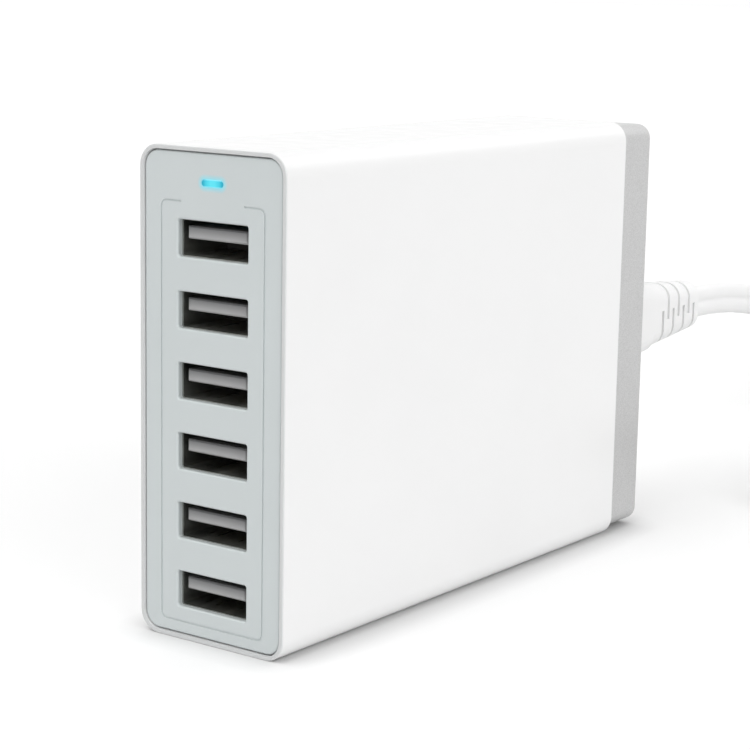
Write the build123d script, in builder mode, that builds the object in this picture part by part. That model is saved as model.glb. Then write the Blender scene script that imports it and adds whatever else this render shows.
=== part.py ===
from build123d import *
from math import pi, radians, tan
import os

os.makedirs("parts", exist_ok=True)

# A six-port USB desktop charger that stands on its narrow side, with its mains lead plugged in.
# X runs across the front, Y from the front (negative) to the back, Z up from the surface it stands on.
# All lengths are in millimetres.

# Case
case_width = 27.2
case_height = 72.8
sleeve_length = 93.0
corner_radius = 3.3
least_radius = 0.4
wall = 1.8
front_lip = 0.65
lip_edge = 0.2
sleeve_rear_edge = 0.5
sliding_fit = 0.15
held_fit = 0.05

# Snap ridges that hold the front panel and the rear cap in the sleeve
snap_spacing = 36.0
snap_length = 10.0
snap_width = 2.0
snap_height = 0.45

# Front panel
panel_thickness = 1.0
panel_recess = 0.25
panel_gap = 0.22
panel_edge = 0.25
skirt_length = 4.5
skirt_wall = 1.2
frame_line_width = 0.28
frame_line_depth = 0.15
frame_line_half = 9.58
frame_line_top_drop = 7.9
frame_line_bottom = 2.67
frame_line_opening = 11.7
frame_line_radius = 1.0

# USB ports
port_count = 6
first_port_drop = 13.2
last_port_rise = 7.6
window_width = 13.0
window_height = 5.4
window_radius = 0.35
window_edge = 0.3
shell_width = 13.1
shell_height = 5.72
shell_thickness = 0.3
shell_radius = 0.6
shell_length = 14.0
shell_leg_height = 2.0
spring_places = (-3.1, 3.1)
spring_start = 2.6
spring_length = 5.0
spring_width = 1.6
spring_slit = 0.3
spring_bow = 0.28
insulator_base_length = 4.6
tongue_width = 11.2
tongue_thickness = 1.84
tongue_drop = 0.85
tongue_setback = 0.15
tongue_edge = 0.25
contact_thickness = 0.2
contact_width = 1.0
contact_setback = 1.0
contact_tail = 2.6
contact_places = (-3.5, -1.0, 1.0, 3.5)

# Status light
light_width = 4.05
light_height = 1.1
light_drop = 5.05
light_flange = 0.8
light_flange_thickness = 1.0
led_width = 3.2
led_height = 1.6
led_thickness = 1.4
led_gap = 0.25

# Boards
board_thickness = 1.6
port_board_edge_gap = 0.7
hole_clearance = 0.2
solder_gap = 1.2
main_board_edge_gap = 0.2
main_board_rear_gap = 0.6
rail_width = 1.0
rail_height = 1.5
header_length = 20.0
header_side = 2.6

# Rear cap and mains inlet
cap_length = 10.0
cap_inset = 0.8
cap_corner_radius = 2.5
cap_rear_edge = 0.9
cap_wall = 1.8
spigot_length = 6.0
spigot_wall = 1.4
spigot_root = 1.5
inlet_drop = 2.0
inlet_depth = 12.0
inlet_floor = 1.8
inlet_wall = 1.2
inlet_flange = 1.6
inlet_flange_thickness = 2.0
pin_spacing = 8.6
pin_diameter = 2.4
pin_setback = 2.5
pin_tip = 0.6
pin_tail_diameter = 1.2
pin_tail_length = 4.0
pin_tail_reach = 0.8
lobe_diameter = 7.4
lobe_waist = 5.9
plug_in_clearance = 0.25

# Mains connector with its ribbed strain relief
connector_gap = 0.3
nose_end_gap = 1.0
socket_clearance = 0.25
socket_end_gap = 1.5
grip_length = 18.0
grip_face_width = 10.6
grip_face_height = 16.6
grip_end_width = 9.7
grip_end_height = 13.0
band_step = 0.35
relief_length = 20.2
relief_end_width = 6.6
relief_end_height = 9.3
grip_radius = 3.2
relief_radius = 3.0
slot_count = 4
slot_pitch = 4.5
slot_width = 0.9
slot_depth = 1.1
slot_start = 4.5
slot_overlap = 0.9

# Power parts on the main board
part_gap = 0.4
core_length = 22.0
core_height = 24.0
core_thickness = 9.0
core_leg = 5.0
core_yoke = 3.5
winding_depth = 15.0
winding_gap = 0.4
winding_radius = 2.4
bulk_diameter = 13.0
bulk_end_gap = 4.4
bulk_bridge_gap = 2.3
output_diameter = 8.0
output_length = 13.0
output_count = 3
output_pitch = 10.5
can_edge = 0.6
choke_diameter = 14.0
choke_bore = 6.0
choke_length = 8.0
filter_depth = 12.0
filter_length = 17.0
filter_height = 11.0
fuse_diameter = 4.6
fuse_length = 12.0
fuse_rise = 14.0
bridge_depth = 10.5
bridge_length = 4.0
bridge_height = 13.0
bridge_notch = 1.2
sink_thickness = 1.5
sink_fold = 5.0
sink_rise = 15.0
sink_edge = 0.6

# Mains lead
cord_diameter = 5.7
cord_layer = 5.8
arc_share = 0.45
hank_x = 18.65
hank_front_y = 168.5
hank_straight = 43.0
hank_inner_radius = 15.75
hank_outer_radius = 21.55
hank_lift = 0.5
hank_layers = 4
lead_end_y = 182.0
tail_start_y = 163.0
tail_x = 36.45
tie_y = 192.0
tie_width = 7.0
tie_thickness = 1.0
tie_stand = 0.4

# Mains plug
plug_start_y = 125.0
plug_x = 33.3
plug_tail_length = 8.0
plug_tail_width = 8.0
plug_tail_height = 6.4
plug_neck_width = 10.4
plug_neck_height = 8.2
plug_shoulder_length = 9.0
plug_body_length = 15.0
plug_width = 21.0
plug_height = 12.0
plug_radius = 2.6
plug_face_edge = 0.8
blade_spacing = 12.7
blade_width = 6.3
blade_thickness = 1.5
blade_length = 17.0
blade_root = 6.0
blade_hole = 3.2
blade_hole_inset = 5.0
blade_tip = 1.2

# Places worked out from the sizes above
mid_z = case_height / 2
front_y = -(sleeve_length + cap_length) / 2
sleeve_rear_y = front_y + sleeve_length
cap_rear_y = sleeve_rear_y + cap_length
panel_front_y = front_y + panel_recess
panel_back_y = panel_front_y + panel_thickness
port_pitch = (case_height - first_port_drop - last_port_rise) / (port_count - 1)
port_heights = [case_height - first_port_drop - port_pitch * n for n in range(port_count)]
light_z = case_height - light_drop
port_board_y = panel_back_y + shell_length
port_board_back_y = port_board_y + board_thickness
cavity_half_width = case_width / 2 - wall
main_board_x = -cavity_half_width + solder_gap + board_thickness
main_board_front_y = port_board_back_y
main_board_rear_y = sleeve_rear_y - spigot_length - main_board_rear_gap
inlet_z = mid_z - inlet_drop
inlet_front_y = cap_rear_y - inlet_depth - inlet_floor
pin_heights = [inlet_z - pin_spacing / 2, inlet_z + pin_spacing / 2]
tail_bend_y = inlet_front_y - pin_tail_length
connector_y = cap_rear_y + connector_gap
relief_y = connector_y + grip_length
relief_start_width = grip_end_width - 2 * band_step
relief_start_height = grip_end_height - 2 * band_step
connector_end_y = relief_y + relief_length


def facing_front(y):
    return Plane.XZ.offset(-y)


def case_section(inset):
    with Locations((0, mid_z)):
        RectangleRounded(
            case_width - 2 * inset, case_height - 2 * inset, max(corner_radius - inset, least_radius)
        )


def lobes(grow):
    for z in pin_heights:
        with Locations((0, z)):
            Circle(lobe_diameter / 2 + grow)
    with Locations((0, inlet_z)):
        Rectangle(lobe_waist + 2 * grow, pin_spacing)


def snap_ridges(y, clearance, mode):
    root_x = cavity_half_width - sliding_fit
    for side in (-1, 1):
        for z in (mid_z - snap_spacing / 2, mid_z + snap_spacing / 2):
            with BuildSketch(Plane.XY.offset(z - snap_length / 2 - clearance)) as ridge:
                with BuildLine():
                    Polyline(
                        (side * root_x, y - snap_width / 2 - clearance),
                        (side * (root_x + snap_height + clearance), y),
                        (side * root_x, y + snap_width / 2 + clearance),
                        close=True,
                    )
                make_face()
            extrude(ridge.sketch, amount=snap_length + 2 * clearance, mode=mode)


def write_piece(builder, name):
    builder.part.label = name
    export_step(builder.part, f"parts/{name}.step")


# White sleeve: one moulded tube with a rebate for the front panel and rails for the main board
panel_snap_y = panel_back_y + skirt_length / 2
cap_snap_y = sleeve_rear_y - spigot_length / 2
rail_front_y = port_board_back_y + sliding_fit
rail_length = sleeve_rear_y - spigot_length - sliding_fit - rail_front_y
rail_offset = board_thickness / 2 + rail_width / 2 + sliding_fit
board_mid_x = main_board_x - board_thickness / 2

with BuildPart() as sleeve:
    with BuildSketch(facing_front(front_y)):
        case_section(0)
    extrude(amount=-sleeve_length)
    fillet(sleeve.edges().group_by(Axis.Y)[0], lip_edge)
    fillet(sleeve.edges().group_by(Axis.Y)[-1], sleeve_rear_edge)
    with BuildSketch(facing_front(front_y)):
        case_section(wall)
    extrude(amount=-sleeve_length, mode=Mode.SUBTRACT)
    with BuildSketch(facing_front(front_y)):
        case_section(front_lip)
    extrude(amount=-(panel_recess + panel_thickness), mode=Mode.SUBTRACT)
    with BuildSketch(facing_front(rail_front_y)):
        for edge_z in (wall + rail_height / 2, case_height - wall - rail_height / 2):
            with Locations((board_mid_x - rail_offset, edge_z), (board_mid_x + rail_offset, edge_z)):
                Rectangle(rail_width, rail_height)
    extrude(amount=-rail_length)
    snap_ridges(panel_snap_y, sliding_fit, Mode.SUBTRACT)
    snap_ridges(cap_snap_y, sliding_fit, Mode.SUBTRACT)
write_piece(sleeve, "sleeve")

# Grey front panel: six port windows, the light slot, an engraved frame line and a snap-in skirt
with BuildPart() as front_panel:
    with BuildSketch(facing_front(panel_front_y)):
        case_section(front_lip + panel_gap)
    extrude(amount=-panel_thickness)
    fillet(front_panel.edges().group_by(Axis.Y)[0], panel_edge)
    with BuildSketch(facing_front(panel_back_y)):
        case_section(wall + sliding_fit)
        with Locations((0, mid_z)):
            Rectangle(
                case_width - 2 * (wall + sliding_fit + skirt_wall),
                case_height - 2 * (wall + sliding_fit + skirt_wall),
                mode=Mode.SUBTRACT,
            )
    extrude(amount=-skirt_length)
    snap_ridges(panel_snap_y, 0, Mode.ADD)
    with BuildSketch(facing_front(panel_front_y)):
        with Locations(*[(0, z) for z in port_heights]):
            RectangleRounded(window_width, window_height, window_radius)
        with Locations((0, light_z)):
            SlotOverall(light_width, light_height)
    extrude(amount=-panel_thickness, mode=Mode.SUBTRACT)
    mouths = front_panel.edges().group_by(Axis.Y)[0]
    mouths = mouths.filter_by_position(Axis.X, -frame_line_half, frame_line_half)
    mouths = mouths.filter_by_position(Axis.Z, frame_line_bottom, case_height - frame_line_top_drop)
    fillet(mouths, window_edge)
    with BuildSketch(facing_front(panel_front_y)):
        with BuildLine():
            FilletPolyline(
                (-frame_line_opening / 2, case_height - frame_line_top_drop),
                (-frame_line_half, case_height - frame_line_top_drop),
                (-frame_line_half, frame_line_bottom),
                (frame_line_half, frame_line_bottom),
                (frame_line_half, case_height - frame_line_top_drop),
                (frame_line_opening / 2, case_height - frame_line_top_drop),
                radius=frame_line_radius,
            )
        trace(line_width=frame_line_width)
    extrude(amount=-frame_line_depth, mode=Mode.SUBTRACT)
write_piece(front_panel, "front_panel")

# Status light: a clear light pipe in the panel's slot, lit by a small lamp on the port board
led_front_y = port_board_y - led_thickness

with BuildPart() as light_pipe:
    with BuildSketch(facing_front(panel_front_y)):
        with Locations((0, light_z)):
            SlotOverall(light_width - 2 * held_fit, light_height - 2 * held_fit)
    extrude(amount=-(led_front_y - led_gap - panel_front_y))
    with BuildSketch(facing_front(panel_back_y)):
        with Locations((0, light_z)):
            SlotOverall(light_width + 2 * light_flange, light_height + 2 * light_flange)
    extrude(amount=-light_flange_thickness)
write_piece(light_pipe, "light_pipe")

with BuildPart() as status_led:
    with BuildSketch(facing_front(led_front_y)):
        with Locations((0, light_z)):
            Rectangle(led_width, led_height)
    extrude(amount=-led_thickness)
    chamfer(status_led.edges().group_by(Axis.Y)[0], led_gap)
write_piece(status_led, "status_led")

# USB receptacles: a folded steel shell with spring fingers, a moulded insulator with its tongue,
# and four contacts each, flush in grooves under the tongue
shell_inner_width = shell_width - 2 * shell_thickness
shell_inner_height = shell_height - 2 * shell_thickness
leg_x = shell_width / 2 - shell_thickness / 2
tongue_rise = shell_inner_height / 2 - tongue_drop - tongue_thickness / 2
contact_rise = tongue_rise - tongue_thickness / 2 + contact_thickness / 2
base_front_y = port_board_y - insulator_base_length
tongue_front_y = panel_back_y + tongue_setback
spring_front_y = panel_back_y + spring_start
spring_tip_y = spring_front_y + spring_length
spring_hole_mid_y = spring_front_y + (spring_length + spring_slit) / 2
contact_front_y = tongue_front_y + contact_setback
groove_front_y = contact_front_y - held_fit

for number, port_z in enumerate(port_heights, start=1):
    with BuildPart() as usb_shell:
        with BuildSketch(facing_front(panel_back_y)):
            with Locations((0, port_z)):
                RectangleRounded(shell_width, shell_height, shell_radius)
                RectangleRounded(
                    shell_inner_width, shell_inner_height, shell_radius - shell_thickness, mode=Mode.SUBTRACT
                )
        extrude(amount=-shell_length)
        with BuildSketch(facing_front(port_board_y)):
            with Locations((-leg_x, port_z), (leg_x, port_z)):
                Rectangle(shell_thickness, shell_leg_height)
        extrude(amount=-(board_thickness - hole_clearance))
        with BuildSketch(Plane.XY.offset(port_z - shell_height)):
            with Locations(*[(x, spring_hole_mid_y) for x in spring_places]):
                Rectangle(spring_width + 2 * spring_slit, spring_length + spring_slit)
        extrude(amount=2 * shell_height, mode=Mode.SUBTRACT)
        for side in (-1, 1):
            wall_outer_z = port_z + side * shell_height / 2
            wall_inner_z = wall_outer_z - side * shell_thickness
            for spring_x in spring_places:
                with BuildSketch(Plane.YZ.offset(spring_x - spring_width / 2)):
                    with BuildLine():
                        Polyline(
                            (spring_front_y, wall_outer_z),
                            (spring_front_y, wall_inner_z),
                            (spring_tip_y, wall_inner_z - side * spring_bow),
                            (spring_tip_y, wall_outer_z - side * spring_bow),
                            close=True,
                        )
                    make_face()
                extrude(amount=spring_width)
    write_piece(usb_shell, f"usb_shell_{number}")

    with BuildPart() as usb_insulator:
        with BuildSketch(facing_front(base_front_y)):
            with Locations((0, port_z)):
                RectangleRounded(
                    shell_inner_width - 2 * held_fit,
                    shell_inner_height - 2 * held_fit,
                    shell_radius - shell_thickness,
                )
        extrude(amount=-insulator_base_length)
        with BuildSketch(facing_front(tongue_front_y)):
            with Locations((0, port_z + tongue_rise)):
                Rectangle(tongue_width, tongue_thickness)
        extrude(amount=-(base_front_y - tongue_front_y))
        chamfer(usb_insulator.edges().group_by(Axis.Y)[0], tongue_edge)
        with BuildSketch(facing_front(groove_front_y)):
            with Locations(*[(x, port_z + contact_rise) for x in contact_places]):
                Rectangle(contact_width + 2 * held_fit, contact_thickness + 2 * held_fit)
        extrude(amount=-(port_board_y - groove_front_y), mode=Mode.SUBTRACT)
    write_piece(usb_insulator, f"usb_insulator_{number}")

    with BuildPart() as usb_contacts:
        with BuildSketch(facing_front(contact_front_y)):
            with Locations(*[(x, port_z + contact_rise) for x in contact_places]):
                Rectangle(contact_width, contact_thickness)
        extrude(amount=-(port_board_y + contact_tail - contact_front_y))
    write_piece(usb_contacts, f"usb_contacts_{number}")

# Port board behind the receptacles, with holes for their legs and contacts
with BuildPart() as port_board:
    with BuildSketch(facing_front(port_board_y)):
        with Locations((0, mid_z)):
            Rectangle(
                case_width - 2 * (wall + port_board_edge_gap), case_height - 2 * (wall + port_board_edge_gap)
            )
        for port_z in port_heights:
            with Locations((-leg_x, port_z), (leg_x, port_z)):
                Rectangle(
                    shell_thickness + 2 * hole_clearance,
                    shell_leg_height + 2 * hole_clearance,
                    mode=Mode.SUBTRACT,
                )
            with Locations(*[(x, port_z + contact_rise) for x in contact_places]):
                Rectangle(
                    contact_width + 2 * hole_clearance,
                    contact_thickness + 2 * hole_clearance,
                    mode=Mode.SUBTRACT,
                )
    extrude(amount=-board_thickness)
write_piece(port_board, "port_board")

# Main board, upright between the sleeve's rails
main_board_length = main_board_rear_y - main_board_front_y
main_board_height = case_height - 2 * (wall + main_board_edge_gap)
main_board_mid_y = (main_board_front_y + main_board_rear_y) / 2

with BuildPart() as main_board:
    with Locations((board_mid_x, main_board_mid_y, mid_z)):
        Box(board_thickness, main_board_length, main_board_height)
    with BuildSketch(Plane.YZ.offset(main_board_x)):
        with Locations(*[(tail_bend_y, z) for z in pin_heights]):
            Circle(pin_tail_diameter / 2 + hole_clearance)
    extrude(amount=-board_thickness, mode=Mode.SUBTRACT)
write_piece(main_board, "main_board")

with BuildPart() as board_header:
    with Locations((main_board_x + header_side / 2, port_board_back_y + header_side / 2, mid_z)):
        Box(header_side, header_side, header_length)
write_piece(board_header, "board_header")

# Where the power parts stand: output side behind the port board, mains side before the inlet's pins
board_bottom_z = wall + main_board_edge_gap
board_top_z = case_height - board_bottom_z
output_y = port_board_back_y + header_side + part_gap + output_diameter / 2
fuse_y = tail_bend_y - pin_tail_diameter / 2 - part_gap - fuse_diameter / 2
bulk_y = fuse_y - fuse_diameter / 2 - part_gap - bulk_diameter / 2
middle_y = (output_y + output_diameter / 2 + bulk_y - bulk_diameter / 2) / 2
core_top_z = mid_z + core_height / 2
core_bottom_z = mid_z - core_height / 2

# Transformer: a ferrite frame with a middle leg, and the winding round that leg
core_mid_x = main_board_x + winding_depth / 2
core_window_length = (core_length - 2 * core_yoke - core_leg) / 2
core_window_height = core_height - 2 * core_yoke
core_window_offset = (core_leg + core_window_length) / 2

with BuildPart() as transformer_core:
    with BuildSketch(Plane.YZ.offset(core_mid_x - core_thickness / 2)):
        with Locations((middle_y, mid_z)):
            Rectangle(core_length, core_height)
            with Locations((-core_window_offset, 0), (core_window_offset, 0)):
                Rectangle(core_window_length, core_window_height, mode=Mode.SUBTRACT)
    extrude(amount=core_thickness)
write_piece(transformer_core, "transformer_core")

with BuildPart() as transformer_winding:
    with BuildSketch(Plane.XY.offset(mid_z - core_window_height / 2 + winding_gap)):
        with Locations((core_mid_x, middle_y)):
            RectangleRounded(winding_depth, core_leg + 2 * (core_window_length - winding_gap), winding_radius)
            Rectangle(core_thickness + 2 * held_fit, core_leg + 2 * held_fit, mode=Mode.SUBTRACT)
    extrude(amount=core_window_height - 2 * winding_gap)
write_piece(transformer_winding, "transformer_winding")

# Electrolytic capacitors: two large ones lying at the mains side, a column standing at the output side
bulk_x = main_board_x + bulk_diameter / 2 + held_fit
bulk_length = (board_top_z - board_bottom_z - bridge_height) / 2 - bulk_end_gap - bulk_bridge_gap
bulk_starts = (board_bottom_z + bulk_end_gap, board_top_z - bulk_end_gap - bulk_length)

for number, start_z in enumerate(bulk_starts, start=1):
    with BuildPart() as bulk_capacitor:
        with BuildSketch(Plane.XY.offset(start_z)):
            with Locations((bulk_x, bulk_y)):
                Circle(bulk_diameter / 2)
        extrude(amount=bulk_length)
        chamfer(bulk_capacitor.edges().filter_by(GeomType.CIRCLE), can_edge)
    write_piece(bulk_capacitor, f"bulk_capacitor_{number}")

for number in range(1, output_count + 1):
    with BuildPart() as output_capacitor:
        with BuildSketch(Plane.YZ.offset(main_board_x)):
            with Locations((output_y, mid_z + (number - (output_count + 1) / 2) * output_pitch)):
                Circle(output_diameter / 2)
        extrude(amount=output_length)
        chamfer(output_capacitor.edges().group_by(Axis.X)[-1], can_edge)
    write_piece(output_capacitor, f"output_capacitor_{number}")

# Folded aluminium heatsinks above and below the transformer
sink_top_x = main_board_x + sink_rise

for name, side, sink_z in (
    ("upper_heatsink", 1, core_top_z + part_gap),
    ("lower_heatsink", -1, core_bottom_z - part_gap),
):
    with BuildPart() as heatsink:
        with BuildSketch(Plane.XZ.offset(-(middle_y - core_length / 2))):
            with BuildLine():
                Polyline(
                    (main_board_x, sink_z),
                    (sink_top_x, sink_z),
                    (sink_top_x, sink_z + side * sink_fold),
                    (sink_top_x - sink_thickness, sink_z + side * sink_fold),
                    (sink_top_x - sink_thickness, sink_z + side * sink_thickness),
                    (main_board_x, sink_z + side * sink_thickness),
                    close=True,
                )
            make_face()
        extrude(amount=-core_length)
        bend = heatsink.edges().filter_by(Axis.Y).group_by(Axis.X)[-1]
        fillet(bend.sort_by(Axis.Z)[0 if side > 0 else -1], sink_edge)
    write_piece(heatsink, name)

# Mains filter: a ring choke, a box capacitor, the fuse and the bridge rectifier
choke_z = core_bottom_z - 2 * part_gap - sink_thickness - choke_diameter / 2
filter_z = core_top_z + 2 * part_gap + sink_thickness + filter_height / 2

with BuildPart() as line_choke:
    with BuildSketch(Plane.YZ.offset(main_board_x)):
        with Locations((middle_y, choke_z)):
            Circle(choke_diameter / 2)
            Circle(choke_bore / 2, mode=Mode.SUBTRACT)
    extrude(amount=choke_length)
    chamfer(line_choke.edges().group_by(Axis.X)[-1], can_edge)
write_piece(line_choke, "line_choke")

with BuildPart() as filter_capacitor:
    with BuildSketch(Plane.YZ.offset(main_board_x)):
        with Locations((middle_y, filter_z)):
            Rectangle(filter_length, filter_height)
    extrude(amount=filter_depth)
    fillet(filter_capacitor.edges().group_by(Axis.X)[-1], can_edge)
write_piece(filter_capacitor, "filter_capacitor")

with BuildPart() as fuse:
    with BuildSketch(Plane.XY.offset(inlet_z + fuse_rise - fuse_length / 2)):
        with Locations((main_board_x + fuse_diameter / 2 + held_fit, fuse_y)):
            Circle(fuse_diameter / 2)
    extrude(amount=fuse_length)
    chamfer(fuse.edges().filter_by(GeomType.CIRCLE), can_edge)
write_piece(fuse, "fuse")

with BuildPart() as bridge_rectifier:
    with BuildSketch(Plane.YZ.offset(main_board_x)):
        with Locations((bulk_y, mid_z)):
            Rectangle(bridge_length, bridge_height)
    extrude(amount=bridge_depth)
    chamfer(bridge_rectifier.edges().filter_by(Axis.Y).group_by(Axis.X)[-1].sort_by(Axis.Z)[-1], bridge_notch)
write_piece(bridge_rectifier, "bridge_rectifier")

# Grey rear cap: it seats on the sleeve's end, and its spigot snaps inside
with BuildPart() as rear_cap:
    with BuildSketch(facing_front(sleeve_rear_y)):
        with Locations((0, mid_z)):
            RectangleRounded(case_width - 2 * cap_inset, case_height - 2 * cap_inset, cap_corner_radius)
    extrude(amount=-cap_length)
    fillet(rear_cap.edges().group_by(Axis.Y)[-1], cap_rear_edge)
    with BuildSketch(facing_front(sleeve_rear_y)):
        with Locations((0, mid_z)):
            RectangleRounded(
                case_width - 2 * (cap_inset + cap_wall),
                case_height - 2 * (cap_inset + cap_wall),
                max(cap_corner_radius - cap_wall, least_radius),
            )
    extrude(amount=-(cap_length - cap_wall), mode=Mode.SUBTRACT)
    with BuildSketch(facing_front(sleeve_rear_y - spigot_length)):
        case_section(wall + sliding_fit)
        with Locations((0, mid_z)):
            Rectangle(
                case_width - 2 * (wall + sliding_fit + spigot_wall),
                case_height - 2 * (wall + sliding_fit + spigot_wall),
                mode=Mode.SUBTRACT,
            )
    extrude(amount=-(spigot_length + spigot_root))
    snap_ridges(cap_snap_y, 0, Mode.ADD)
    with BuildSketch(facing_front(cap_rear_y)):
        lobes(plug_in_clearance + inlet_wall + sliding_fit)
    extrude(amount=cap_wall, mode=Mode.SUBTRACT)
write_piece(rear_cap, "rear_cap")

# Mains inlet: a two-lobed socket behind the cap's rear wall, with two pins bent down to the main board
cap_inside_y = cap_rear_y - cap_wall

with BuildPart() as inlet_housing:
    with BuildSketch(facing_front(cap_rear_y)):
        lobes(plug_in_clearance + inlet_wall)
    extrude(amount=inlet_depth + inlet_floor)
    with BuildSketch(facing_front(cap_inside_y)):
        lobes(plug_in_clearance + inlet_wall + inlet_flange)
    extrude(amount=inlet_flange_thickness)
    with BuildSketch(facing_front(cap_rear_y)):
        lobes(plug_in_clearance)
    extrude(amount=inlet_depth, mode=Mode.SUBTRACT)
    with BuildSketch(facing_front(inlet_front_y)):
        with Locations(*[(0, z) for z in pin_heights]):
            Circle(pin_diameter / 2 + held_fit)
    extrude(amount=-inlet_floor, mode=Mode.SUBTRACT)
write_piece(inlet_housing, "inlet_housing")

pin_root_y = inlet_front_y - pin_tail_diameter / 2
pin_tip_y = cap_rear_y - pin_setback

for number, pin_z in enumerate(pin_heights, start=1):
    with BuildPart() as inlet_pin:
        with BuildSketch(facing_front(pin_root_y)):
            with Locations((0, pin_z)):
                Circle(pin_diameter / 2)
        extrude(amount=-(pin_tip_y - pin_root_y))
        chamfer(inlet_pin.edges().group_by(Axis.Y)[-1], pin_tip)
        with BuildSketch(facing_front(tail_bend_y)):
            with Locations((0, pin_z)):
                Circle(pin_tail_diameter / 2)
        extrude(amount=-(pin_root_y - tail_bend_y))
        with BuildSketch(Plane.YZ):
            with Locations((tail_bend_y, pin_z)):
                Circle(pin_tail_diameter / 2)
        extrude(amount=main_board_x - board_thickness - pin_tail_reach)
        with Locations((0, tail_bend_y, pin_z)):
            Sphere(pin_tail_diameter / 2)
    write_piece(inlet_pin, f"inlet_pin_{number}")

# Mains connector: a two-lobed nose in the inlet, a tapered grip and a strain relief with staggered slots
nose_front_y = cap_rear_y - inlet_depth + nose_end_gap

with BuildPart() as cord_connector:
    for y, width, height in (
        (connector_y, grip_face_width, grip_face_height),
        (relief_y, grip_end_width, grip_end_height),
    ):
        with BuildSketch(facing_front(y)):
            with Locations((0, inlet_z)):
                RectangleRounded(width, height, grip_radius)
    loft()
    for y, width, height in (
        (relief_y, relief_start_width, relief_start_height),
        (connector_end_y, relief_end_width, relief_end_height),
    ):
        with BuildSketch(facing_front(y)):
            with Locations((0, inlet_z)):
                RectangleRounded(width, height, relief_radius)
    loft()
    with BuildSketch(facing_front(connector_y)):
        lobes(0)
    extrude(amount=connector_y - nose_front_y)
    with BuildSketch(facing_front(nose_front_y)):
        with Locations(*[(0, z) for z in pin_heights]):
            Circle(pin_diameter / 2 + socket_clearance)
    extrude(amount=-(pin_tip_y + socket_end_gap - nose_front_y), mode=Mode.SUBTRACT)
    for n in range(2 * slot_count - 1):
        side = -1 if n % 2 == 0 else 1
        along = slot_start + n * slot_pitch / 2
        share = along / relief_length
        inside_width = relief_start_width * (1 - share) + relief_end_width * share - 2 * slot_depth
        inside_height = relief_start_height * (1 - share) + relief_end_height * share - 2 * slot_depth
        with BuildSketch(facing_front(relief_y + along - slot_width / 2)):
            with Locations((0, inlet_z + side * (relief_start_height / 2 - slot_overlap))):
                Rectangle(2 * relief_start_width, relief_start_height)
            with Locations((0, inlet_z)):
                RectangleRounded(inside_width, inside_height, relief_radius - slot_depth, mode=Mode.SUBTRACT)
        extrude(amount=-slot_width, mode=Mode.SUBTRACT)
write_piece(cord_connector, "cord_connector")


# Mains lead: a straight exit, a gentle drop into a tied hank behind the charger, and a short tail to the plug
def layer_mid(layer):
    return hank_lift + (layer - 0.5) * cord_layer


def route_radii(points):
    radii = []
    for before, corner, after in zip(points, points[1:], points[2:]):
        run_in = Vector(*corner) - Vector(*before)
        run_out = Vector(*after) - Vector(*corner)
        half_turn = radians(run_in.get_angle(run_out)) / 2
        radii.append(arc_share * min(run_in.length, run_out.length) / tan(half_turn))
    return radii


plug_z = plug_height / 2
lead_route = [
    (0, connector_end_y, inlet_z),
    (0, 103.0, inlet_z),
    (0, 120.0, 32.0),
    (0, 138.0, 28.2),
    (0, 155.0, 23.6),
    (0, 169.0, layer_mid(hank_layers)),
    (0, lead_end_y, layer_mid(hank_layers)),
]
tail_route = [
    (tail_x, tail_start_y, layer_mid(1)),
    (tail_x, 155.0, layer_mid(1)),
    (35.3, 146.0, 4.2),
    (34.0, 137.5, 5.4),
    (plug_x, 131.0, plug_z),
    (plug_x, plug_start_y, plug_z),
]

for name, route in (("cord_lead", lead_route), ("cord_tail", tail_route)):
    radii = route_radii(route)
    with BuildPart() as cord_run:
        with BuildLine() as run_line:
            FilletPolyline(*route, radius=radii)
        with BuildSketch(Plane(origin=route[0], z_dir=Vector(*route[1]) - Vector(*route[0]))):
            Circle(cord_diameter / 2)
        sweep()
    write_piece(cord_run, name)
    plain_volume = run_line.wires()[0].length * pi * cord_diameter**2 / 4
    print(name, "radii", [round(r, 1) for r in radii], "length", round(run_line.wires()[0].length, 1))
    print(name, "volume over section times length", round(cord_run.part.volume / plain_volume, 5))

hank_height = hank_lift + hank_layers * cord_layer
hank_mid_y = hank_front_y + hank_straight / 2
hank_run_x = hank_x + (hank_inner_radius + hank_outer_radius) / 2
hank_run_width = hank_outer_radius - hank_inner_radius
quarter = 2 * hank_outer_radius

with BuildPart() as cord_hank:
    with BuildSketch():
        with Locations((hank_x, hank_mid_y)):
            SlotCenterToCenter(hank_straight, 2 * hank_outer_radius, rotation=90)
            SlotCenterToCenter(hank_straight, 2 * hank_inner_radius, rotation=90, mode=Mode.SUBTRACT)
    extrude(amount=hank_height)
    with BuildSketch(Plane.XY.offset(hank_height - cord_layer)):
        with Locations((hank_x - quarter / 2, lead_end_y - quarter / 2)):
            Rectangle(quarter, quarter)
    extrude(amount=cord_layer, mode=Mode.SUBTRACT)
    with BuildSketch():
        with Locations((hank_x + quarter / 2, tail_start_y - quarter / 2)):
            Rectangle(quarter, quarter)
    extrude(amount=hank_lift + cord_layer, mode=Mode.SUBTRACT)
    with BuildSketch(facing_front(tie_y - tie_width / 2)):
        with Locations((hank_run_x, hank_height / 2)):
            Rectangle(2 * hank_run_width, 2 * hank_height)
            Rectangle(
                hank_run_width - 2 * (tie_thickness - tie_stand),
                hank_height - 2 * (tie_thickness - tie_stand),
                mode=Mode.SUBTRACT,
            )
    extrude(amount=-tie_width, mode=Mode.SUBTRACT)
write_piece(cord_hank, "cord_hank")

tie_inner_rise = hank_height - 2 * (tie_thickness - tie_stand)
tie_bottom = tie_thickness - tie_stand

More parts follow.
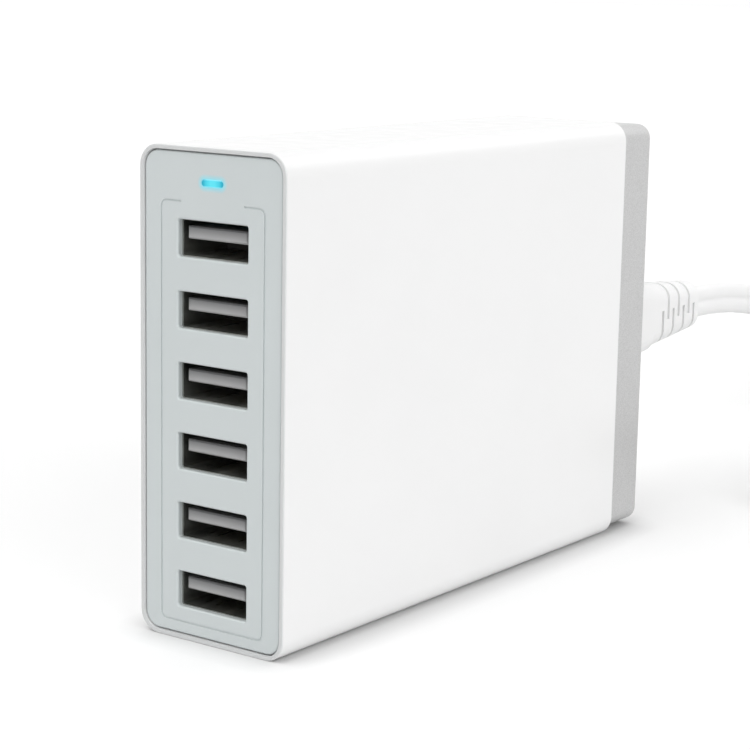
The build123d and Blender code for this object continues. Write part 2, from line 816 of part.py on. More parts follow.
with BuildPart() as cord_tie:
    with BuildSketch(facing_front(tie_y - tie_width / 2)):
        with Locations((hank_run_x, (hank_height + tie_stand) / 2)):
            Rectangle(hank_run_width + 2 * tie_stand, hank_height + tie_stand)
        with Locations((hank_run_x, tie_bottom + tie_inner_rise / 2)):
            Rectangle(
                hank_run_width - 2 * (tie_thickness - tie_stand), tie_inner_rise, mode=Mode.SUBTRACT
            )
    extrude(amount=-tie_width)
write_piece(cord_tie, "cord_tie")

# Two-blade mains plug lying beside the hank
plug_shoulder_y = plug_start_y - plug_tail_length
plug_body_y = plug_shoulder_y - plug_shoulder_length
plug_face_y = plug_body_y - plug_body_length
blade_root_y = plug_face_y + blade_root
blade_tip_y = plug_face_y - blade_length
blade_places = (plug_x - blade_spacing / 2, plug_x + blade_spacing / 2)

with BuildPart() as plug_body:
    with BuildSketch(facing_front(plug_body_y)):
        with Locations((plug_x, plug_z)):
            RectangleRounded(plug_width, plug_height, plug_radius)
    extrude(amount=plug_body_length)
    fillet(plug_body.edges().group_by(Axis.Y)[0], plug_face_edge)
    with BuildSketch(facing_front(plug_body_y)):
        with Locations((plug_x, plug_z)):
            RectangleRounded(plug_width, plug_height, plug_radius)
    with BuildSketch(facing_front(plug_shoulder_y)):
        with Locations((plug_x, plug_z)):
            RectangleRounded(plug_neck_width, plug_neck_height, plug_radius)
    loft()
    with BuildSketch(facing_front(plug_shoulder_y)):
        with Locations((plug_x, plug_z)):
            RectangleRounded(plug_neck_width, plug_neck_height, plug_radius)
    with BuildSketch(facing_front(plug_start_y)):
        with Locations((plug_x, plug_z)):
            RectangleRounded(plug_tail_width, plug_tail_height, plug_radius)
    loft()
    with BuildSketch(facing_front(plug_face_y)):
        with Locations(*[(x, plug_z) for x in blade_places]):
            Rectangle(blade_thickness + 2 * held_fit, blade_width + 2 * held_fit)
    extrude(amount=-blade_root, mode=Mode.SUBTRACT)
write_piece(plug_body, "plug_body")

for number, blade_x in enumerate(blade_places, start=1):
    with BuildPart() as plug_blade:
        with BuildSketch(Plane.YZ.offset(blade_x - blade_thickness / 2)):
            with BuildLine():
                Polyline(
                    (blade_root_y, plug_z - blade_width / 2),
                    (blade_root_y, plug_z + blade_width / 2),
                    (blade_tip_y + blade_tip, plug_z + blade_width / 2),
                    (blade_tip_y, plug_z + blade_width / 2 - blade_tip),
                    (blade_tip_y, plug_z - blade_width / 2 + blade_tip),
                    (blade_tip_y + blade_tip, plug_z - blade_width / 2),
                    close=True,
                )
            make_face()
            with Locations((blade_tip_y + blade_hole_inset, plug_z)):
                Circle(blade_hole / 2, mode=Mode.SUBTRACT)
        extrude(amount=blade_thickness)
    write_piece(plug_blade, f"plug_blade_{number}")
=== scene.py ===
import math

import bmesh
import bpy
from mathutils import Euler, Matrix, Vector


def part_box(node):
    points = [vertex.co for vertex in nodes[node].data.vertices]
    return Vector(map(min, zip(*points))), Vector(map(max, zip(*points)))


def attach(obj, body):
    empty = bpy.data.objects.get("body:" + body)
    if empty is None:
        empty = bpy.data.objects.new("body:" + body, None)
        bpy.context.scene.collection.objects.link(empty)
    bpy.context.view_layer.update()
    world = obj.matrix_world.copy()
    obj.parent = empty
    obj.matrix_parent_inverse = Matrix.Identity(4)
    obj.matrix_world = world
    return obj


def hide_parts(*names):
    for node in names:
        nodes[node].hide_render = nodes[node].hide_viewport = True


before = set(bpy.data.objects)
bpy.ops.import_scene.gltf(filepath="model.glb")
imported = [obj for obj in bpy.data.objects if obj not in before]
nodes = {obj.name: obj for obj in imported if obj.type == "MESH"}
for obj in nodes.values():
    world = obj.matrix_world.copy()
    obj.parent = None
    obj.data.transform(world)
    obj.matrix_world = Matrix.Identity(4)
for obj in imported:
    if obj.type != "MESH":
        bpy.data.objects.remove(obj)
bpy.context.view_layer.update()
scene = bpy.context.scene
mm = 0.001
print("frame loaded,", len(nodes), "nodes")

# Camera, fitted to the six ports and the corners of the case
cameraSetup = {
    "place": (194.86 * mm, -277.62 * mm, 97.61 * mm),
    "azimuth": 36.245,  # degrees round from the front
    "elevation": 10.795,
    "roll": 1.018,
    "lens": 101.85,  # mm
    "sensor": 36.0,
    "clip": (0.01, 20.0),
}


def makeCamera():
    data = bpy.data.cameras.new("photoCamera")
    data.sensor_width = cameraSetup["sensor"]
    data.lens = cameraSetup["lens"]
    data.clip_start, data.clip_end = cameraSetup["clip"]
    camera = bpy.data.objects.new("photoCamera", data)
    tilt = math.radians(90.0 - cameraSetup["elevation"])
    turn = math.radians(cameraSetup["azimuth"])
    aim = Euler((tilt, 0.0, turn)).to_matrix()
    aim = aim @ Matrix.Rotation(math.radians(cameraSetup["roll"]), 3, "Z")
    camera.location = cameraSetup["place"]
    camera.rotation_euler = aim.to_euler()
    scene.collection.objects.link(camera)
    scene.camera = camera


makeCamera()
print("camera set")


# Small helpers for the node trees
noiseSpan = (0.3, 0.7)  # where most of a noise's values lie
fineDetail = 2.0  # of the noise behind a grain


def newFinish(name):
    finish = bpy.data.materials.new(name)
    finish.use_nodes = True
    tree = finish.node_tree
    tree.nodes.clear()
    out = tree.nodes.new("ShaderNodeOutputMaterial")
    skin = tree.nodes.new("ShaderNodeBsdfPrincipled")
    tree.links.new(skin.outputs["BSDF"], out.inputs["Surface"])
    coords = tree.nodes.new("ShaderNodeTexCoord")
    return finish, tree, skin, coords.outputs["Object"]


def noiseOf(tree, vector, perMetre, detail=3.0, stretch=(1, 1, 1)):
    mapping = tree.nodes.new("ShaderNodeMapping")
    mapping.inputs["Scale"].default_value = stretch
    noise = tree.nodes.new("ShaderNodeTexNoise")
    noise.inputs["Scale"].default_value = perMetre
    noise.inputs["Detail"].default_value = detail
    tree.links.new(vector, mapping.inputs["Vector"])
    tree.links.new(mapping.outputs["Vector"], noise.inputs["Vector"])
    return noise.outputs["Fac"]


def rampOf(tree, factor, places, colours):
    ramp = tree.nodes.new("ShaderNodeValToRGB")
    band = ramp.color_ramp.elements
    while len(band) < len(places):
        band.new(0.5)
    for element, place, colour in zip(band, places, colours):
        element.position = place
        element.color = (*colour, 1.0)
    tree.links.new(factor, ramp.inputs["Fac"])
    return ramp.outputs["Color"]


def rangeOf(tree, value, fromLow, fromHigh, toLow, toHigh):
    node = tree.nodes.new("ShaderNodeMapRange")
    node.inputs["From Min"].default_value = fromLow
    node.inputs["From Max"].default_value = fromHigh
    node.inputs["To Min"].default_value = toLow
    node.inputs["To Max"].default_value = toHigh
    tree.links.new(value, node.inputs["Value"])
    return node.outputs["Result"]


def mathOf(tree, operation, first, second=0.0, clamp=False):
    node = tree.nodes.new("ShaderNodeMath")
    node.operation = operation
    node.use_clamp = clamp
    for socket, value in zip(node.inputs, (first, second)):
        if isinstance(value, (int, float)):
            socket.default_value = value
        else:
            tree.links.new(value, socket)
    return node.outputs["Value"]


def axesOf(tree, vector):
    split = tree.nodes.new("ShaderNodeSeparateXYZ")
    tree.links.new(vector, split.inputs["Vector"])
    return split.outputs["X"], split.outputs["Y"], split.outputs["Z"]


def roundReach(tree, place, middle, straight):
    # distance from a flat bar in the front, so that its levels are rounded outlines
    x, _, z = axesOf(tree, place)
    squares = []
    for along, centre, length in ((x, middle[0], straight[0]), (z, middle[2], straight[1])):
        beside = mathOf(tree, "ABSOLUTE", mathOf(tree, "SUBTRACT", along, centre))
        past = mathOf(tree, "SUBTRACT", beside, length, clamp=True)
        squares.append(mathOf(tree, "MULTIPLY", past, past))
    return mathOf(tree, "SQRT", mathOf(tree, "ADD", *squares))


def mixOf(tree, factor, first, second):
    # from the linked colour to the given one
    mix = tree.nodes.new("ShaderNodeMix")
    mix.data_type = "RGBA"
    mix.inputs["B"].default_value = (*second, 1.0)
    tree.links.new(factor, mix.inputs["Factor"])
    tree.links.new(first, mix.inputs["A"])
    return mix.outputs["Result"]


def bumpOf(tree, height, distance):
    bump = tree.nodes.new("ShaderNodeBump")
    bump.inputs["Distance"].default_value = distance
    bump.inputs["Strength"].default_value = 1.0
    tree.links.new(height, bump.inputs["Height"])
    return bump.outputs["Normal"]


def dress(finish, *names):
    for name in names:
        slots = nodes[name].material_slots
        for slot in slots:
            slot.material = finish
        if not slots:
            nodes[name].data.materials.append(finish)


# The mains lead: flat twin flex, out of the connector, folded into a hank behind the charger
lead = {
    "length": 1.5,
    "height": 5.7 * mm,  # across both cores
    "swell": 1.07,  # control points of the section stand outside it
    "lobeHalf": 1.4 * mm,
    "waistHalf": 1.0 * mm,
    "shoulder": (0.8, 0.93),  # shares of lobe and height between side and crown
    "brink": 0.45,  # share of the core's place where the groove starts
    "steps": (6, 2),  # along the lead and round its section
    "start": [  # the route's points out of the connector, mm
        (0, 90, 34.4),
        (0, 103, 34.4),
        (0, 120, 32.0),
        (0, 138, 28.2),
        (0, 155, 23.6),
        (0, 169, 20.8),
        (0, 182, 20.8),
    ],
    "end": [  # and those into the plug
        (36.45, 163, 3.4),
        (36.45, 155, 3.4),
        (35.3, 146, 4.2),
        (34.0, 137.5, 5.4),
        (33.3, 131, 6.0),
        (33.3, 125, 6.0),
    ],
    "hankMiddle": 18.65,
    "hankFront": 168.5,
    "hankRear": 211.5,
    "outer": 20.1,  # fold radius of the outer turns
    "inner": 17.2,
    "layers": [3.4, 9.2, 15.0, 20.8],
    "arcPoints": 6,  # to a half turn
}


def hankTurns():
    low, second, third, top = lead["layers"]
    outer, inner = lead["outer"], lead["inner"]
    turns = [(outer, top), (outer, third), (inner, third), (inner, second)]
    turns += [(outer, second), (outer, low), (inner, low)]
    step = math.pi / lead["arcPoints"]
    reach = math.tan(step / 2)
    grow = 1 / math.cos(step / 2)  # control points of a round arc stand outside it
    middle, front, rear = lead["hankMiddle"], lead["hankFront"], lead["hankRear"]
    points = []
    for number, (radius, height) in enumerate(turns):
        if number:
            points.append((middle - radius, front + radius * reach, height))
        points.append((middle - radius, rear - radius * reach, height))
        for place in range(lead["arcPoints"]):
            angle = math.pi - (place + 0.5) * step
            points.append(
                (
                    middle + radius * grow * math.cos(angle),
                    rear + radius * grow * math.sin(angle),
                    height,
                )
            )
        points.append((middle + radius, rear - radius * reach, height))
        if number == len(turns) - 1:
            break
        points.append((middle + radius, front + radius * reach, height))
        nextRadius, nextHeight = turns[number + 1]
        for place in range(lead["arcPoints"]):
            share = (place + 0.5) / lead["arcPoints"]
            angle = -(place + 0.5) * step
            track = radius + (nextRadius - radius) * share
            points.append(
                (
                    middle + track * grow * math.cos(angle),
                    front + track * grow * math.sin(angle),
                    height + (nextHeight - height) * share,
                )
            )
    return points


def makeFlexSection():
    # Two round cores side by side, with a groove between them.
    # Drawn one unit high to each side: the radius of the lead's points gives it its size
    unit = lead["height"] / 2
    half = lead["swell"]
    lobe, waist = lead["lobeHalf"] / unit * lead["swell"], lead["waistHalf"] / unit
    core = half - lobe
    side, crown = lobe * lead["shoulder"][0], half * lead["shoulder"][1]
    brink = core * lead["brink"]
    outline = [
        (lobe, core), (side, crown), (0, half), (-side, crown), (-lobe, core),
        (-lobe, brink), (-waist, 0), (-lobe, -brink),
        (-lobe, -core), (-side, -crown), (0, -half), (side, -crown), (lobe, -core),
        (lobe, -brink), (waist, 0), (lobe, brink),
    ]
    data = bpy.data.curves.new("flexSection", "CURVE")
    data.dimensions = "2D"
    data.fill_mode = "NONE"
    data.resolution_u = lead["steps"][1]
    spline = data.splines.new("NURBS")
    spline.points.add(len(outline) - 1)
    for point, (x, y) in zip(spline.points, outline):
        point.co = (x, y, 0, 1)
    spline.order_u = 3
    spline.use_cyclic_u = True
    section = bpy.data.objects.new("flexSection", data)
    section.hide_render = True
    section.hide_viewport = True
    scene.collection.objects.link(section)
    return section


def makeLead():
    route = lead["start"] + hankTurns() + lead["end"]
    data = bpy.data.curves.new("mains_lead", "CURVE")
    data.dimensions = "3D"
    data.twist_mode = "Z_UP"
    data.resolution_u = lead["steps"][0]
    data.bevel_mode = "OBJECT"
    data.bevel_object = makeFlexSection()
    data.use_fill_caps = True
    spline = data.splines.new("NURBS")
    spline.points.add(len(route) - 1)
    for point, (x, y, z) in zip(spline.points, route):
        point.co = (x * mm, y * mm, z * mm, 1)
        point.radius = lead["height"] / 2
    spline.order_u = 3
    spline.use_endpoint_u = True
    flex = bpy.data.objects.new("mains_lead", data)
    scene.collection.objects.link(flex)
    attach(flex, "root")
    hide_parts("cord_lead", "cord_hank", "cord_tail")
    return flex


flex = makeLead()
print("mains lead laid,", len(flex.data.splines[0].points), "points")

# Floor, white surround and lamps
studio = {
    "floorHalf": 6.0,
    "floorTone": (0.75, 0.75, 0.75),
    "contactShadowTone": (0.66, 0.66, 0.66),  # painted contact shadow, close to what stands on it
    "contactReach": 7 * mm,
    "contactSpan": (0.3, 1.0),  # open share of the sky, from hidden to clear
    "floorLift": 0.27,  # where seen directly, so that the floor comes out white; it fades near what stands on it as painted contact shadow
    "surround": (1.0, 1.0, 1.0),
    "fill": 0.37,  # light from all round
    "keyLamp": {"from": (-0.12, -0.75, 1.1), "spread": 45.0, "strength": 0.90},
    "topLamp": {"from": (-0.60, 0.05, 1.0), "spread": 80.0, "strength": 0.80},
    "sideLamp": {"from": (1.0, -0.25, 0.42), "spread": 60.0, "strength": 1.45},
    "rimLamp": {"from": (0.30, 0.70, 0.65), "spread": 40.0, "strength": 0.25},
}


def seenDirectly(tree):
    # 1 for what the camera, a mirror or a clear piece looks at
    path = tree.nodes.new("ShaderNodeLightPath")
    either = mathOf(tree, "MAXIMUM", path.outputs["Is Camera Ray"], path.outputs["Is Glossy Ray"])
    return mathOf(tree, "MAXIMUM", either, path.outputs["Is Transmission Ray"])


def makeFloor():
    mesh = bmesh.new()
    bmesh.ops.create_grid(mesh, x_segments=1, y_segments=1, size=studio["floorHalf"])
    data = bpy.data.meshes.new("studioFloor")
    mesh.to_mesh(data)
    mesh.free()
    floor = bpy.data.objects.new("studioFloor", data)
    scene.collection.objects.link(floor)
    finish = bpy.data.materials.new("paleFloor")
    finish.use_nodes = True
    tree = finish.node_tree
    tree.nodes.clear()
    out = tree.nodes.new("ShaderNodeOutputMaterial")
    matt = tree.nodes.new("ShaderNodeBsdfDiffuse")
    near = tree.nodes.new("ShaderNodeAmbientOcclusion")
    near.inputs["Distance"].default_value = studio["contactReach"]
    seen = seenDirectly(tree)
    # painted contact shadow: the AO darkens the floor's colour and fades its lift near what stands on it
    clear = rangeOf(tree, near.outputs["AO"], *studio["contactSpan"], 0.0, 1.0)
    hidden = mathOf(tree, "MULTIPLY", seen, mathOf(tree, "SUBTRACT", 1.0, clear))
    tone = rampOf(tree, hidden, (0.0, 1.0), (studio["floorTone"], studio["contactShadowTone"]))
    tree.links.new(tone, matt.inputs["Color"])
    lift = tree.nodes.new("ShaderNodeEmission")
    lift.inputs["Color"].default_value = (*studio["surround"], 1.0)
    seenLift = mathOf(tree, "MULTIPLY", seen, studio["floorLift"])
    tree.links.new(mathOf(tree, "MULTIPLY", clear, seenLift), lift.inputs["Strength"])
    both = tree.nodes.new("ShaderNodeAddShader")
    tree.links.new(matt.outputs["BSDF"], both.inputs[0])
    tree.links.new(lift.outputs["Emission"], both.inputs[1])
    tree.links.new(both.outputs["Shader"], out.inputs["Surface"])
    data.materials.append(finish)


def makeSurround():
    world = bpy.data.worlds.new("whiteSurround")
    world.use_nodes = True
    tree = world.node_tree
    tree.nodes.clear()
    out = tree.nodes.new("ShaderNodeOutputWorld")
    sky = tree.nodes.new("ShaderNodeBackground")
    sky.inputs["Color"].default_value = (*studio["surround"], 1.0)
    level = rangeOf(tree, seenDirectly(tree), 0.0, 1.0, studio["fill"], 1.0)
    tree.links.new(level, sky.inputs["Strength"])
    tree.links.new(sky.outputs["Background"], out.inputs["Surface"])
    scene.world = world


def makeLamp(name):
    look = studio[name]
    data = bpy.data.lights.new(name, "SUN")
    data.angle = math.radians(look["spread"])
    data.energy = look["strength"]
    lamp = bpy.data.objects.new(name, data)
    lamp.location = look["from"]
    lamp.rotation_euler = Vector(look["from"]).to_track_quat("Z", "Y").to_euler()
    scene.collection.objects.link(lamp)


makeFloor()
makeSurround()
for lampName in ("keyLamp", "topLamp", "sideLamp", "rimLamp"):
    makeLamp(lampName)
scene.view_settings.view_transform = "Standard"
print("studio lit")

# White moulded case: gloss with a faint orange peel, the front lip painted a touch greyer as shade
caseLook = {
    "white": (0.90, 0.90, 0.90),
    "offWhite": (0.885, 0.885, 0.885),
    "lipShade": (0.69, 0.70, 0.70),
    "lipDepth": 0.25 * mm,
    "cloudPerMetre": 40.0,
    "rough": (0.19, 0.22),
    "roughPerMetre": 300.0,
    "peel": 0.001 * mm,
    "peelPerMetre": 900.0,
    "ior": 1.48,
}


def glossWhiteCase():
    finish, tree, skin, place = newFinish("glossWhiteCase")
    cloud = noiseOf(tree, place, caseLook["cloudPerMetre"])
    tone = rampOf(tree, cloud, noiseSpan, (caseLook["offWhite"], caseLook["white"]))
    _, y, _ = axesOf(tree, place)
    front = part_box("sleeve")[0][1]
    # painted shade: the sleeve's white front end, within lipDepth, mixed to a grey
    lipShadeMask = rangeOf(tree, y, front, front + caseLook["lipDepth"], 1.0, 0.0)
    tree.links.new(mixOf(tree, lipShadeMask, tone, caseLook["lipShade"]), skin.inputs["Base Color"])
    dull = noiseOf(tree, place, caseLook["roughPerMetre"])
    tree.links.new(rangeOf(tree, dull, *noiseSpan, *caseLook["rough"]), skin.inputs["Roughness"])
    peel = noiseOf(tree, place, caseLook["peelPerMetre"])
    tree.links.new(bumpOf(tree, peel, caseLook["peel"]), skin.inputs["Normal"])
    skin.inputs["IOR"].default_value = caseLook["ior"]
    return finish


dress(glossWhiteCase(), "sleeve")
print("case finished")

# Satin grey front panel, spark-eroded grain, with painted light from the pill: a cyan tint in the base colour
# of the plastic round it
panelLook = {
    "grey": (0.655, 0.700, 0.703),
    "shade": (0.642, 0.687, 0.690),
    "corner": 2.43 * mm,
    "edge": (0.36, 0.385, 0.39),  # shade along the outline and on the window walls
    "edgeReach": 0.24 * mm,
    "edgeShare": 0.30,
    "wallDepth": (0.25 * mm, 0.55 * mm),
    "wallShare": 0.45,
    "pipeFlange": 0.8 * mm,  # of the light pipe, hidden behind the panel
    "glow": (0.19, 0.845, 1.0),
    "glowReach": 0.75 * mm,
    "glowShare": 0.70,
    "cloudPerMetre": 60.0,
    "rough": (0.30, 0.40),
    "roughPerMetre": 800.0,
    "grain": 0.010 * mm,
    "grainPerMetre": 2500.0,
}


def satinGreyPanel():
    finish, tree, skin, place = newFinish("satinGreyPanel")
    cloud = noiseOf(tree, place, panelLook["cloudPerMetre"])
    tone = rampOf(tree, cloud, noiseSpan, (panelLook["shade"], panelLook["grey"]))
    low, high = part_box("front_panel")
    corner = panelLook["corner"]
    straight = (high[0] - low[0]) / 2 - corner, (high[2] - low[2]) / 2 - corner
    outline = roundReach(tree, place, (low + high) / 2, straight)
    atEdge = rangeOf(tree, outline, corner - panelLook["edgeReach"], corner, 0.0, panelLook["edgeShare"])
    _, y, _ = axesOf(tree, place)
    near, far = panelLook["wallDepth"]
    inside = rangeOf(tree, y, low[1] + near, low[1] + far, 0.0, panelLook["wallShare"])
    tone = mixOf(tree, mathOf(tree, "MAXIMUM", atEdge, inside), tone, panelLook["edge"])
    low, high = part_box("light_pipe")
    edge = (high[2] - low[2]) / 2
    pill = roundReach(tree, place, (low + high) / 2, ((high[0] - low[0]) / 2 - edge, 0.0))
    edge -= panelLook["pipeFlange"]
    # painted light: the pill's glow laid into the panel's base colour
    glow = rangeOf(tree, pill, edge, edge + panelLook["glowReach"], panelLook["glowShare"], 0.0)
    tree.links.new(mixOf(tree, glow, tone, panelLook["glow"]), skin.inputs["Base Color"])
    dull = noiseOf(tree, place, panelLook["roughPerMetre"])
    tree.links.new(rangeOf(tree, dull, *noiseSpan, *panelLook["rough"]), skin.inputs["Roughness"])
    fine = noiseOf(tree, place, panelLook["grainPerMetre"], fineDetail)
    tree.links.new(bumpOf(tree, fine, panelLook["grain"]), skin.inputs["Normal"])
    return finish


dress(satinGreyPanel(), "front_panel")

# Lit pill: clear plastic with the lamp behind it, brightest in the middle
pillLook = {
    "half": 2.0 * mm,
    "middle": (0.09, 0.68, 0.80),
    "shoulder": (0.04, 0.54, 0.68),
    "ends": (0.005, 0.32, 0.46),
    "rim": (0.28, 0.76, 0.86),
    "rimReach": (0.36 * mm, 0.52 * mm),  # above and below the middle line
    "rimEnds": 0.14 * mm,  # the line reaches this much further
    "stops": (0.2, 0.62, 0.88),  # of the half, for middle, shoulder and ends
    "clear": (0.02, 0.10, 0.12),
    "specular": 0.25,
    "rough": (0.12, 0.22),
    "roughPerMetre": 900.0,
}


def litPill():
    finish, tree, skin, place = newFinish("litPill")
    low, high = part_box("light_pipe")
    x, _, _ = axesOf(tree, place)
    beside = mathOf(tree, "ABSOLUTE", mathOf(tree, "SUBTRACT", x, (low[0] + high[0]) / 2))
    share = rangeOf(tree, beside, 0.0, pillLook["half"], 0.0, 1.0)
    colours = pillLook["middle"], pillLook["shoulder"], pillLook["ends"]
    colour = rampOf(tree, share, pillLook["stops"], colours)
    line = (high[0] - low[0]) / 2 - (high[2] - low[2]) / 2 + pillLook["rimEnds"]
    near, far = pillLook["rimReach"]
    outline = roundReach(tree, place, (low + high) / 2, (line, 0.0))
    atRim = rangeOf(tree, outline, near, far, 0.0, 1.0)
    tree.links.new(mixOf(tree, atRim, colour, pillLook["rim"]), skin.inputs["Emission Color"])
    skin.inputs["Emission Strength"].default_value = 1.0
    skin.inputs["Base Color"].default_value = (*pillLook["clear"], 1.0)
    skin.inputs["Specular IOR Level"].default_value = pillLook["specular"]
    dull = noiseOf(tree, place, pillLook["roughPerMetre"])
    tree.links.new(rangeOf(tree, dull, *noiseSpan, *pillLook["rough"]), skin.inputs["Roughness"])
    return finish


dress(litPill(), "light_pipe")

# Silver end cap: fine metal flake in grey plastic
capLook = {
    "dark": (0.47, 0.47, 0.47),
    "mid": (0.55, 0.55, 0.55),
    "pale": (0.63, 0.63, 0.63),
    "stops": (0.30, 0.5, 0.72),
    "flakesPerMetre": 7000.0,
    "metal": 0.25,
    "rough": (0.34, 0.48),
    "grain": 0.008 * mm,
}


def silverFlakeCap():
    finish, tree, skin, place = newFinish("silverFlakeCap")
    flake = noiseOf(tree, place, capLook["flakesPerMetre"], fineDetail)
    tone = rampOf(tree, flake, capLook["stops"], (capLook["dark"], capLook["mid"], capLook["pale"]))
    tree.links.new(tone, skin.inputs["Base Color"])
    low, high = capLook["rough"]
    tree.links.new(rangeOf(tree, flake, *noiseSpan, high, low), skin.inputs["Roughness"])
    tree.links.new(bumpOf(tree, flake, capLook["grain"]), skin.inputs["Normal"])
    skin.inputs["Metallic"].default_value = capLook["metal"]
    return finish


dress(silverFlakeCap(), "rear_cap")
print("panel, pill and cap finished")


# Plain moulded, sheet metal and soft finishes share this maker
def mouldedFinish(name, look):
    finish, tree, skin, place = newFinish(name)
    stretch = look.get("stretch", (1, 1, 1))
    cloud = noiseOf(tree, place, look["cloud"], stretch=stretch)
    tone = rampOf(tree, cloud, noiseSpan, (look["shade"], look["tone"]))
    tree.links.new(tone, skin.inputs["Base Color"])
    tree.links.new(rangeOf(tree, cloud, *noiseSpan, *look["rough"]), skin.inputs["Roughness"])
    fine = noiseOf(tree, place, look["grainPerMetre"], fineDetail, stretch)
    tree.links.new(bumpOf(tree, fine, look["grain"]), skin.inputs["Normal"])
    skin.inputs["Metallic"].default_value = look.get("metal", 0.0)
    return finish


portLook = {
    "steel": {"tone": (0.36, 0.37, 0.35), "shade": (0.25, 0.26, 0.24), "cloud": 400.0, "rough": (0.35, 0.5),
              "grainPerMetre": 3000.0, "grain": 0.004 * mm, "metal": 1.0, "stretch": (1, 0.15, 1)},
    "gold": {"tone": (0.80, 0.60, 0.26), "shade": (0.70, 0.50, 0.20), "cloud": 900.0, "rough": (0.2, 0.35),
             "grainPerMetre": 4000.0, "grain": 0.002 * mm, "metal": 1.0, "stretch": (1, 0.2, 1)},
}
ports = range(1, 7)
tongueLook = {
    "below": -0.15 * mm,  # underside of the tongue from the middle of its port
    "above": 1.75 * mm,
    "pale": (0.49, 0.49, 0.49),
    "shaded": (0.15, 0.15, 0.155),
    "back": (0.05, 0.05, 0.05),
    "noseLength": 5.0 * mm,
    "rough": (0.35, 0.5),
    "grain": 0.006 * mm,
    "grainPerMetre": 3500.0,
}


def tongueFinish():
    # Pale nose, with painted shade: darker to the top and towards the base
    finish, tree, skin, place = newFinish("paleTongue")
    first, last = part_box("usb_insulator_1"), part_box("usb_insulator_6")
    pitch = (first[0][2] - last[0][2]) / (len(ports) - 1)
    bottom = (last[0][2] + last[1][2]) / 2 + tongueLook["below"]
    _, y, z = axesOf(tree, place)
    turns = mathOf(tree, "DIVIDE", mathOf(tree, "SUBTRACT", z, bottom), pitch)
    rise = mathOf(tree, "MULTIPLY", mathOf(tree, "FRACT", turns), pitch)
    share = rangeOf(tree, rise, 0.0, tongueLook["above"] - tongueLook["below"], 0.0, 1.0)
    tone = rampOf(tree, share, (0.0, 1.0), (tongueLook["pale"], tongueLook["shaded"]))
    # painted shade, near black towards the tongue's base deep in the port
    inwardShade = rangeOf(tree, y, first[0][1], first[0][1] + tongueLook["noseLength"], 0.0, 1.0)
    tree.links.new(mixOf(tree, inwardShade, tone, tongueLook["back"]), skin.inputs["Base Color"])
    cloud = noiseOf(tree, place, tongueLook["grainPerMetre"], fineDetail)
    tree.links.new(rangeOf(tree, cloud, *noiseSpan, *tongueLook["rough"]), skin.inputs["Roughness"])
    tree.links.new(bumpOf(tree, cloud, tongueLook["grain"]), skin.inputs["Normal"])
    return finish


dress(mouldedFinish("blackenedSteelShell", portLook["steel"]), *[f"usb_shell_{n}" for n in ports])
dress(tongueFinish(), *[f"usb_insulator_{n}" for n in ports])
dress(mouldedFinish("goldContact", portLook["gold"]), *[f"usb_contacts_{n}" for n in ports])

leadLook = {
    "jacket": {"tone": (0.90, 0.90, 0.90), "shade": (0.88, 0.88, 0.88), "cloud": 120.0, "rough": (0.42, 0.55),
               "grainPerMetre": 1800.0, "grain": 0.010 * mm},
    "band": {"tone": (0.10, 0.10, 0.10), "shade": (0.07, 0.07, 0.07), "cloud": 300.0, "rough": (0.4, 0.55),
             "grainPerMetre": 2500.0, "grain": 0.010 * mm},
    "nickel": {"tone": (0.74, 0.73, 0.70), "shade": (0.66, 0.65, 0.62), "cloud": 300.0, "rough": (0.18, 0.32),
               "grainPerMetre": 2500.0, "grain": 0.002 * mm, "metal": 1.0, "stretch": (1, 0.1, 1)},
}
jacket = mouldedFinish("whiteFlexJacket", leadLook["jacket"])
flex.data.materials.append(jacket)
dress(jacket, "cord_connector", "plug_body")
dress(mouldedFinish("wireTie", leadLook["band"]), "cord_tie")
pins = ["plug_blade_1", "plug_blade_2", "inlet_pin_1", "inlet_pin_2"]
dress(mouldedFinish("nickelBlade", leadLook["nickel"]), *pins)
print("ports and lead finished")

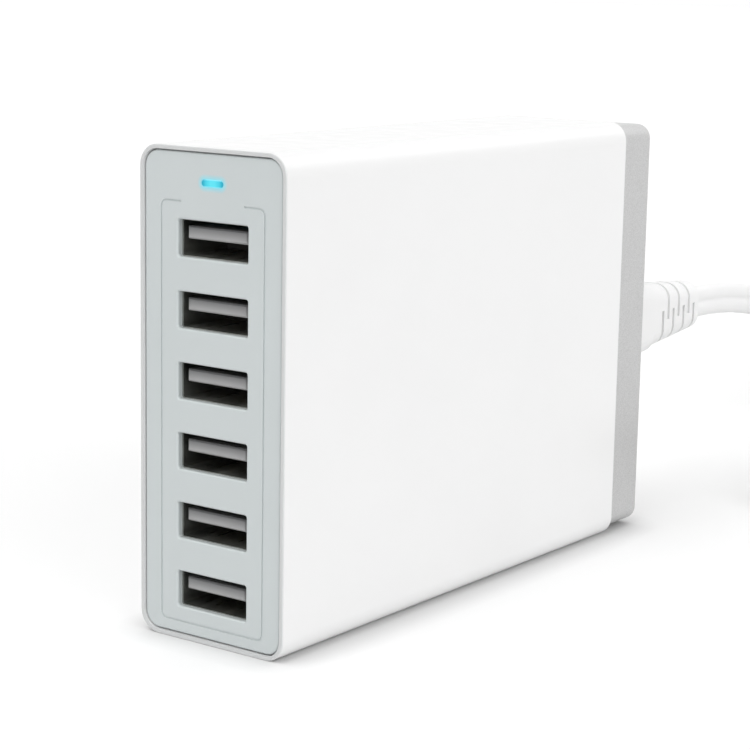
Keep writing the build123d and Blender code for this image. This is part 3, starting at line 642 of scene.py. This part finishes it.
# What the case hides
innerLook = {
    "mask": {"tone": (0.03, 0.20, 0.08), "shade": (0.02, 0.15, 0.06), "cloud": 200.0, "rough": (0.3, 0.45),
             "grainPerMetre": 1500.0, "grain": 0.010 * mm},
    "black": {"tone": (0.035, 0.035, 0.035), "shade": (0.022, 0.022, 0.022), "cloud": 250.0,
              "rough": (0.4, 0.55), "grainPerMetre": 2500.0, "grain": 0.010 * mm},
    "ferrite": {"tone": (0.12, 0.12, 0.13), "shade": (0.07, 0.07, 0.08), "cloud": 700.0, "rough": (0.6, 0.8),
                "grainPerMetre": 3000.0, "grain": 0.03 * mm},
    "tape": {"tone": (0.72, 0.50, 0.08), "shade": (0.62, 0.40, 0.05), "cloud": 300.0, "rough": (0.25, 0.4),
             "grainPerMetre": 1200.0, "grain": 0.02 * mm, "stretch": (1, 1, 6)},
    "can": {"tone": (0.03, 0.05, 0.16), "shade": (0.02, 0.035, 0.12), "cloud": 150.0, "rough": (0.2, 0.35),
            "grainPerMetre": 900.0, "grain": 0.01 * mm},
    "box": {"tone": (0.66, 0.46, 0.07), "shade": (0.58, 0.39, 0.05), "cloud": 200.0, "rough": (0.4, 0.55),
            "grainPerMetre": 2000.0, "grain": 0.01 * mm},
    "sheet": {"tone": (0.74, 0.75, 0.76), "shade": (0.64, 0.65, 0.66), "cloud": 300.0, "rough": (0.3, 0.5),
              "grainPerMetre": 2500.0, "grain": 0.006 * mm, "metal": 1.0, "stretch": (1, 0.1, 1)},
    "epoxy": {"tone": (0.75, 0.85, 0.90), "shade": (0.68, 0.78, 0.84), "cloud": 300.0, "rough": (0.1, 0.2),
              "grainPerMetre": 1500.0, "grain": 0.004 * mm},
}
cans = ["bulk_capacitor_1", "bulk_capacitor_2"] + [f"output_capacitor_{n}" for n in (1, 2, 3)]
dress(mouldedFinish("greenSolderMask", innerLook["mask"]), "port_board", "main_board")
mouldings = ["board_header", "fuse", "bridge_rectifier", "inlet_housing"]
dress(mouldedFinish("blackMoulding", innerLook["black"]), *mouldings)
dress(mouldedFinish("ferriteCore", innerLook["ferrite"]), "transformer_core")
dress(mouldedFinish("windingTape", innerLook["tape"]), "transformer_winding", "line_choke")
dress(mouldedFinish("shrinkSleeve", innerLook["can"]), *cans)
dress(mouldedFinish("boxCapacitor", innerLook["box"]), "filter_capacitor")
dress(mouldedFinish("foldedAluminium", innerLook["sheet"]), "upper_heatsink", "lower_heatsink")
dress(mouldedFinish("lampEpoxy", innerLook["epoxy"]), "status_led")
print("inner parts finished")

print("scene built")
